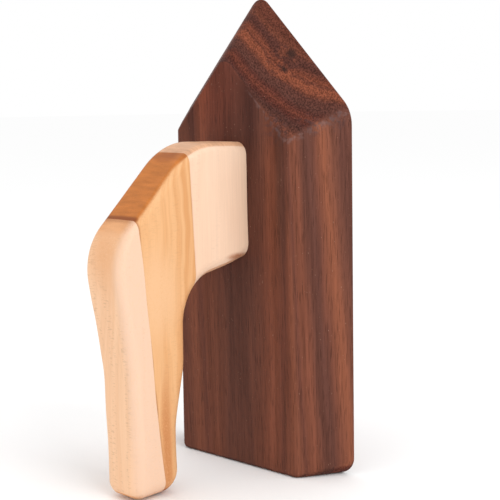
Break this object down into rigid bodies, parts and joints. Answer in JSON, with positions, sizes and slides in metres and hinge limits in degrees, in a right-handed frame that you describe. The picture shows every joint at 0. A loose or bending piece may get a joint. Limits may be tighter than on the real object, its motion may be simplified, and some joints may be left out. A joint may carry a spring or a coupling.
{
  "type": "door wedge",
  "caption": "Wooden door wedge: a flat walnut body with a bevelled, pointed nose, and a laminated maple grip handle that stands off its front face.",
  "frame": {"origin": "bottom centre of the whole object's box, on the surface that the body's heel stands on", "axes": "X across the body; +Y out of the flat sole, away from the handle; +Z from the heel to the pointed nose"},
  "size_m": [0.1095, 0.1028, 0.2226],
  "materials": {
    "walnut": "oiled walnut, satin",
    "pale_maple": "oiled pale maple, satin",
    "honey_maple": "oiled darker maple, satin",
    "dowel_wood": "bare fluted dowel"
  },
  "bodies": {
    "root": {"wedge_body": "walnut", "handle_post": "pale_maple", "handle_core": "honey_maple", "handle_back": "pale_maple", "upper_dowel": "dowel_wood", "lower_dowel": "dowel_wood"}
  },
  "joints": []
}
